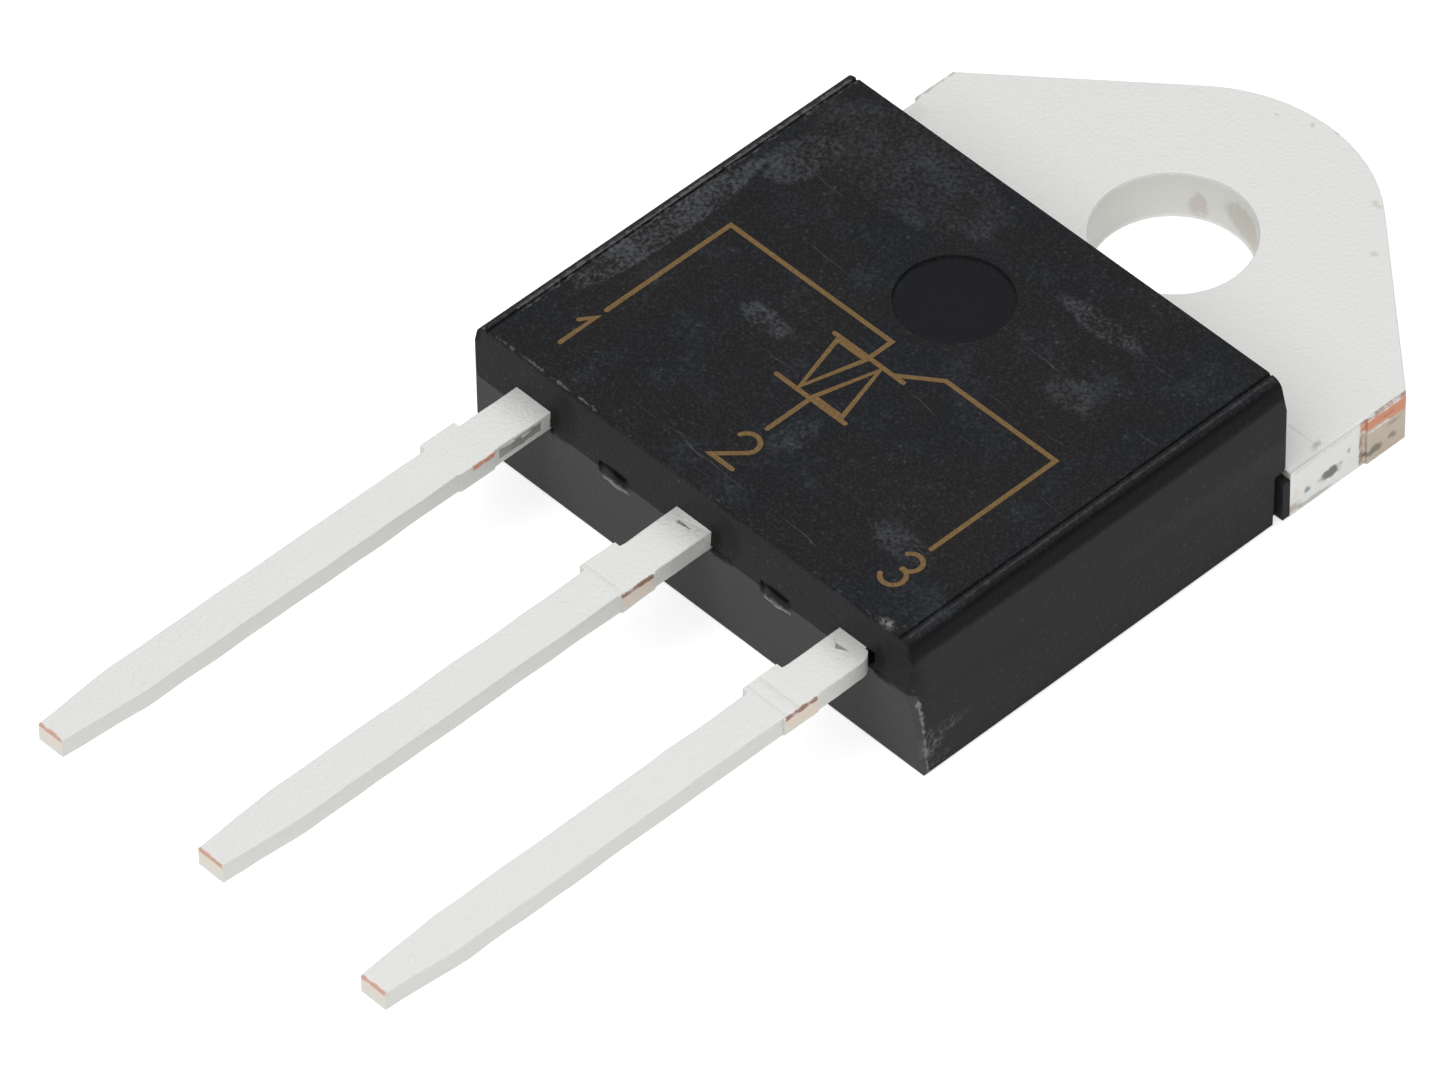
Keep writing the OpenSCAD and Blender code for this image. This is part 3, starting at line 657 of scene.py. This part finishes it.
def make_scar_lips(material):
    """Rough ridges of torn compound under the gate scars."""
    bm = bmesh.new()
    for scar_x in SCARS_X:
        rows = []
        for i in range(LIP_STEPS + 1):
            along = i / LIP_STEPS
            x = scar_x + 0.05 + (along - 0.5) * LIP_LENGTH
            wild = noise.noise_vector(Vector((x * 5, 3, 8)))
            fade = math.sin(math.pi * along)
            low = PARTING_Z - 0.26 - 0.05 * fade + wild.x * 0.05
            high = low + 0.03 + (0.045 + wild.y * 0.04) * fade
            out = FRONT_Y - (0.005 + 0.035 * fade * (0.7 + wild.z))
            inside = FRONT_Y + 0.12
            ring = ((inside, low), (out + 0.02, low), (out, (low + high) / 2), (out + 0.02, high),
                    (inside, high))
            rows.append([bm.verts.new(Vector((x, y, z)) * MM) for y, z in ring])
        for row, following in zip(rows, rows[1:]):
            for a, b, c, d in zip(row, row[1:] + row[:1], following[1:] + following[:1], following):
                bm.faces.new((a, b, c, d))
        bm.faces.new(rows[0])
        bm.faces.new(rows[-1][::-1])
    bmesh.ops.recalc_face_normals(bm, faces=bm.faces)
    mesh = bpy.data.meshes.new("scar_lips")
    bm.to_mesh(mesh)
    bm.free()
    mesh.materials.append(material)
    piece = put(mesh, "scar_lips", Vector((0, 0, 0)))
    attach(piece, "root")


def cut_across(bm, y):
    """Adds a loop of edges where a solid crosses a distance from the hole."""
    parts = bm.verts[:] + bm.edges[:] + bm.faces[:]
    bmesh.ops.bisect_plane(bm, geom=parts, dist=WELD, plane_co=(0, y * MM, 0), plane_no=(0, 1, 0))


def waver(bm, amount, length, seed):
    """Lets the free part of a lead wander a little, as a stamped strip does."""
    for vert in bm.verts:
        y = vert.co.y / MM
        if y < FRONT_Y - 0.3:
            side = seed + (20 if vert.co.z / MM > LEAD_MIDDLE_Z else 0)
            vert.co.x += noise.noise(Vector((y / length, side, vert.co.x / MM))) * amount * MM
            vert.co.z += noise.noise(Vector((y / length, side, 40))) * amount * MM * 0.5


def score_across(bm, y, depth, width):
    """Presses a fine line across the top of a lead."""
    for step in (-width, 0, width):
        cut_across(bm, y + step)
    for vert in bm.verts:
        if is_near(vert.co.y / MM, y, width / 2) and is_near(vert.co.z / MM, LEAD_Z):
            vert.co.z -= depth * MM


def face_at(bm, point):
    """Top face of a lead that holds a point of the plan."""
    bm.normal_update()
    for face in bm.faces:
        if face.normal.z < 0.9:
            continue
        corners = [vert.co.xy / MM for vert in face.verts]
        turns = [(b - a).cross(point - a) for a, b in zip(corners, corners[1:] + corners[:1])]
        if min(turns) > 0:
            return face
    return None


def press_dent(bm, corners, depth):
    """Pushes a triangle of a lead's top down and fills the face round it again."""
    corners = [Vector(corner) for corner in corners]
    centre = sum(corners, Vector((0, 0))) / 3
    face = face_at(bm, centre)
    outside = face.edges[:]
    bmesh.ops.delete(bm, geom=[face], context="FACES_ONLY")
    upper, lower = [
        [bm.verts.new(Vector((*centre.lerp(corner, size), z)) * MM) for corner in corners]
        for size, z in ((1.0, LEAD_Z), (0.75, LEAD_Z - depth))]
    bm.faces.new(lower)
    for a, b, c, d in zip(upper, upper[1:] + upper[:1], lower[1:] + lower[:1], lower):
        bm.faces.new((a, b, c, d))
    mouth = [bm.edges.get(pair) for pair in zip(upper, upper[1:] + upper[:1])]
    bmesh.ops.triangle_fill(bm, edges=outside + mouth, use_beauty=True, normal=(0, 0, 1))
    bmesh.ops.recalc_face_normals(bm, faces=bm.faces)


def lead_stations():
    """Distances at which a free lead is divided, clear of its stubs' steps and its taper."""
    steps = (STUB_NEAR_Y, STUB_FAR_Y, TAPER_Y)
    stations = [FRONT_Y + 0.05, TAPER_Y]
    y = FRONT_Y - 0.6
    while y > LEAD_END_Y + 0.3:
        if min(abs(y - at) for at in steps) > 0.12:
            stations.append(y)
        y -= 0.5
    return stations


def round_shoulder(bm, lead_x):
    """Draws the right side of a lead in a little where it leaves the body."""
    reach, depth = 0.34, 0.20
    for distance in (0.0, 0.07, 0.14, 0.22, reach):
        cut_across(bm, FRONT_Y - distance)
    for vert in bm.verts:
        outside = FRONT_Y - vert.co.y / MM
        if -1.5 < outside < reach and vert.co.x / MM > lead_x + 0.4:
            vert.co.x -= depth * min(1.0, 1 - outside / reach) ** 2 * MM


def dress_lead(node, name, material, seed, dent, lines):
    """Stamped lead with rounded edges, coined lines, a dent and a slight wander."""
    bm = open_solid(node)
    for y in lead_stations():
        cut_across(bm, y)
    for y in lines:
        score_across(bm, y, LINE_DEPTH, LINE_WIDTH)
    if dent:
        press_dent(bm, dent, DENT_DEPTH)
    if node == "lead_gate":
        round_shoulder(bm, LEADS_X[2])
    waver(bm, LEAD_WANDER, WANDER_LENGTH, seed)
    return close_solid(bm, name, node, material, lead_edge, LEAD_ROUNDING)


# ---------------------------------------------------------------- marking

PIN_X = 5.45
MARK_WIDTH = 0.13
MARK_BASE = -0.004
MARK_RISE = 0.006


def stroke_outline(points, width, closed):
    """Both sides of a drawn line, with mitred corners."""
    count = len(points)
    sides = []
    for i, point in enumerate(points):
        before = points[i - 1] if closed or i else None
        after = points[(i + 1) % count] if closed or i < count - 1 else None
        steps = [(b - a).normalized() for a, b in ((before, point), (point, after)) if a and b]
        normals = [Vector((-step.y, step.x)) for step in steps]
        mitre = sum(normals, Vector((0, 0))).normalized()
        reach = width / 2 / max(mitre.dot(normals[0]), 0.4)
        sides.append((point + mitre * reach, point - mitre * reach))
    return sides


def add_stroke(bm, points, width, top, closed=False):
    """Thin raised strip along a line of points on the body's top."""
    points = [Vector(point) for point in points]
    sides = stroke_outline(points, width, closed)
    layers = []
    for z in (top, TOP_Z + MARK_BASE):
        layers.append([[bm.verts.new(Vector((*p, z)) * MM) for p in pair] for pair in sides])
    rows = list(zip(*layers))
    links = zip(rows, rows[1:] + rows[:1]) if closed else zip(rows, rows[1:])
    for (upper, lower), (next_upper, next_lower) in links:
        bm.faces.new((upper[0], upper[1], next_upper[1], next_upper[0]))
        bm.faces.new((lower[0], next_lower[0], next_lower[1], lower[1]))
        for side, flip in ((0, 1), (1, -1)):
            wall = (upper[side], next_upper[side], next_lower[side], lower[side])
            bm.faces.new(wall[::flip])
    if not closed:
        for (upper, lower), outward in ((rows[0], 1), (rows[-1], -1)):
            bm.faces.new((upper[0], lower[0], lower[1], upper[1])[::outward])
        for end in (points[0], points[-1]):
            add_dot(bm, end, width / 2, top + 0.0002)


def add_dot(bm, centre, radius, top):
    """Thin raised disc that rounds the end of a stroke."""
    rims = []
    for z in (top, TOP_Z + MARK_BASE):
        angles = [2 * math.pi * i / 16 for i in range(16)]
        rim = [(centre.x + radius * math.cos(a), centre.y + radius * math.sin(a), z) for a in angles]
        rims.append([bm.verts.new(Vector(point) * MM) for point in rim])
    upper, lower = rims
    bm.faces.new(upper)
    bm.faces.new(lower[::-1])
    for a, b, c, d in zip(upper, lower, lower[1:] + lower[:1], upper[1:] + upper[:1]):
        bm.faces.new((a, b, c, d))


def arc(centre, radius, start, end, steps=14):
    """Points along an arc, its angles in degrees."""
    angles = [math.radians(start + (end - start) * i / steps) for i in range(steps + 1)]
    return [(centre[0] + radius * math.cos(a), centre[1] + radius * math.sin(a)) for a in angles]


def digit_one(x, y, high):
    return [[(x - 0.2 * high, y + 0.72 * high), (x, y + high), (x, y)]]


def digit_two(x, y, high):
    bowl = arc((x, y + 0.72 * high), 0.28 * high, 165, -40)
    return [bowl + [(x - 0.3 * high, y), (x + 0.32 * high, y)]]


def digit_three(x, y, high):
    upper = arc((x - 0.02 * high, y + 0.75 * high), 0.25 * high, 150, -90)
    lower = arc((x - 0.02 * high, y + 0.25 * high), 0.27 * high, 90, -150)
    return [upper, lower]


def make_marking(material):
    """Connection diagram in laser lines: a switch symbol wired to pins 1, 2 and 3."""
    bar_half, half_width = 1.15, 0.95
    high_y, low_y = -10.15, -12.05
    number_y, number_high = -14.95, 1.15
    wire_end = number_y + number_high + 0.35
    lines = [
        ([(-bar_half, high_y), (bar_half, high_y)], False),
        ([(-bar_half, low_y), (bar_half, low_y)], False),
        ([(-half_width, high_y - 0.1), (0, high_y - 0.1), (-half_width / 2, low_y + 0.1)], True),
        ([(half_width, low_y + 0.1), (0, low_y + 0.1), (half_width / 2, high_y - 0.1)], True),
        ([(0, high_y), (0, high_y + 0.75), (-PIN_X, high_y + 0.75), (-PIN_X, wire_end)], False),
        ([(0, low_y), (0, wire_end)], False),
        ([(bar_half * 0.7, high_y), (bar_half * 0.7 + 1.0, high_y + 0.75), (PIN_X, high_y + 0.75),
          (PIN_X, wire_end)], False),
    ]
    for digit, x in ((digit_one, -PIN_X), (digit_two, 0), (digit_three, PIN_X)):
        lines += [(points, False) for points in digit(x, number_y, number_high)]
    bm = bmesh.new()
    for order, (points, closed) in enumerate(lines):
        add_stroke(bm, points, MARK_WIDTH, TOP_Z + MARK_RISE + order * 0.0004, closed)
    bmesh.ops.recalc_face_normals(bm, faces=bm.faces)
    mesh = bpy.data.meshes.new("pin_marking")
    bm.to_mesh(mesh)
    bm.free()
    mesh.materials.append(material)
    piece = put(mesh, "pin_marking", Vector((0, 0, 0)))
    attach(piece, "root")


# ---------------------------------------------------------------- stage

def make_floor():
    """White sheet that keeps a faint shadow and shows white in the metal."""
    bm = bmesh.new()
    bmesh.ops.create_grid(bm, x_segments=1, y_segments=1, size=1.5)
    mesh = bpy.data.meshes.new("floor")
    bm.to_mesh(mesh)
    bm.free()
    material, tree, _, output = new_material("white_sheet")
    rays = tree.add("ShaderNodeLightPath").outputs
    seen = tree.calc("MAXIMUM", rays["Is Camera Ray"], rays["Is Glossy Ray"])
    plain = tree.add("ShaderNodeBsdfDiffuse", {"Color": (0.8, 0.8, 0.8, 1)}).outputs[0]
    glow = tree.add("ShaderNodeEmission", {"Color": (1, 1, 1, 1), "Strength": 0.58}).outputs[0]
    both = tree.add("ShaderNodeAddShader")
    tree.feed(both.inputs[0], plain)
    tree.feed(both.inputs[1], glow)
    pick = tree.add("ShaderNodeMixShader", {"Fac": seen})
    tree.feed(pick.inputs[1], plain)
    tree.feed(pick.inputs[2], both.outputs[0])
    tree.feed(output, pick.outputs[0])
    mesh.materials.append(material)
    floor = put(mesh, "floor", Vector((0, 0, -0.01)))


def make_world():
    """Even white studio; what the camera sees of it is plain white."""
    world = bpy.data.worlds.new("studio")
    bpy.context.scene.world = world
    world.use_nodes = True
    world.node_tree.nodes.clear()
    tree = Tree(world.node_tree)
    seen = tree.add("ShaderNodeLightPath").outputs["Is Camera Ray"]
    light = tree.add("ShaderNodeBackground", {"Color": (1, 1, 1, 1), "Strength": 0.30}).outputs[0]
    plain = tree.add("ShaderNodeBackground", {"Color": (1, 1, 1, 1), "Strength": 1.0}).outputs[0]
    pick = tree.add("ShaderNodeMixShader", {"Fac": seen})
    tree.feed(pick.inputs[1], light)
    tree.feed(pick.inputs[2], plain)
    tree.feed(tree.add("ShaderNodeOutputWorld").inputs["Surface"], pick.outputs[0])


# ---------------------------------------------------------------- build

make_camera()
make_world()
make_floor()
make_lamp("key_lamp", 15, 58, 300, 240, 0.54)
make_lamp("back_lamp", 215, 55, 300, 220, 0.17)
make_lamp("side_lamp", 85, 28, 300, 200, 0.13)

# One start value for the ragged mouths, so that every run makes the same body
noise.seed_set(RAGGED_SEED)

for make_effect in (make_cloud_effect, make_speckle_effect, make_scratch_effect, make_patch_effect):
    make_effect()

epoxy = make_epoxy()
dress_body(epoxy)
make_scar_lips(epoxy)
close_solid(open_solid("heatsink_tab"), "screw_tab", "heatsink_tab", make_tab_plating(),
            tab_edge, TAB_ROUNDING)
STUB_COPPER = [
    ((STUB_RIGHT, -18.35, 3.06), (0.05, 0.52, 0.22), 0.7, COPPER_PALE),
    ((STUB_RIGHT, -18.35, LEAD_Z - 0.05), (0.05, 0.52, 0.09), 0.9, COPPER_DARK),
]
finish = make_lead_plating("lead_a1_plating", LEADS_X[0], [], [
    ((0.59, -16.95, 3.12), (0.1, 0.68, 0.17), 0.9, SCRAPED),
    ((0.59, -17.42, 3.10), (0.1, 0.22, 0.12), 0.7, DULL_AND_SHADE),
    # painted highlights on the scraped patch
    ((0.59, -16.75, 3.20), (0.1, 0.16, 0.05), 1.0, CHALK_AND_GLINT),
    ((0.59, -17.30, 3.25), (0.1, 0.20, 0.05), 1.0, CHALK_AND_GLINT),
    ((STUB_RIGHT, -18.1, LEAD_Z - 0.06), (0.06, 0.40, 0.10), 0.9, COPPER),
])
dress_lead("lead_a1", "lead_a1_strip", finish, 3, None, [])
finish = make_lead_plating("lead_a2_plating", LEADS_X[1], [], STUB_COPPER + [
    ((0.0, -16.27, LEAD_Z - 0.08), (0.35, 0.12, 0.075), 1.0, SCRAPED),
])
dress_lead("lead_a2", "lead_a2_strip", finish, 10, [(-0.14, -16.22), (-0.1, -16.34), (0.38, -16.25)],
           [-18.76])
finish = make_lead_plating("lead_gate_plating", LEADS_X[2], [], STUB_COPPER + [
    ((-0.1, -16.39, LEAD_Z - 0.08), (0.35, 0.15, 0.075), 0.9, SCRAPED),
    ((0.39, FRONT_Y + 0.22, LEAD_MIDDLE_Z), (0.1, 0.27, 0.4), 1.0, SHADOW),
])
dress_lead("lead_gate", "lead_gate_strip", finish, 17, [(5.25, -16.36), (5.42, -16.5), (5.74, -16.33)],
           [-18.36, -18.76])
make_marking(make_laser_mark())

inner_finishes = {
    "solder": make_plain_metal("solder_joint", (0.50, 0.50, 0.49, 1), 0.35, 1.0),
    "bare_copper": make_plain_metal("inner_copper", (0.72, 0.38, 0.24, 1), 0.35, 1.0),
    "alumina": make_plain_metal("white_ceramic", (0.80, 0.79, 0.76, 1), 0.5, 0.0),
    "silicon": make_plain_metal("silicon_chip", (0.10, 0.10, 0.12, 1), 0.2, 0.6),
}
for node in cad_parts.values():
    slot_name = node.data.materials[0].name.split(".")[0]
    if slot_name in inner_finishes:
        node.data.materials[0] = inner_finishes[slot_name]

bpy.context.scene.view_settings.view_transform = "Standard"
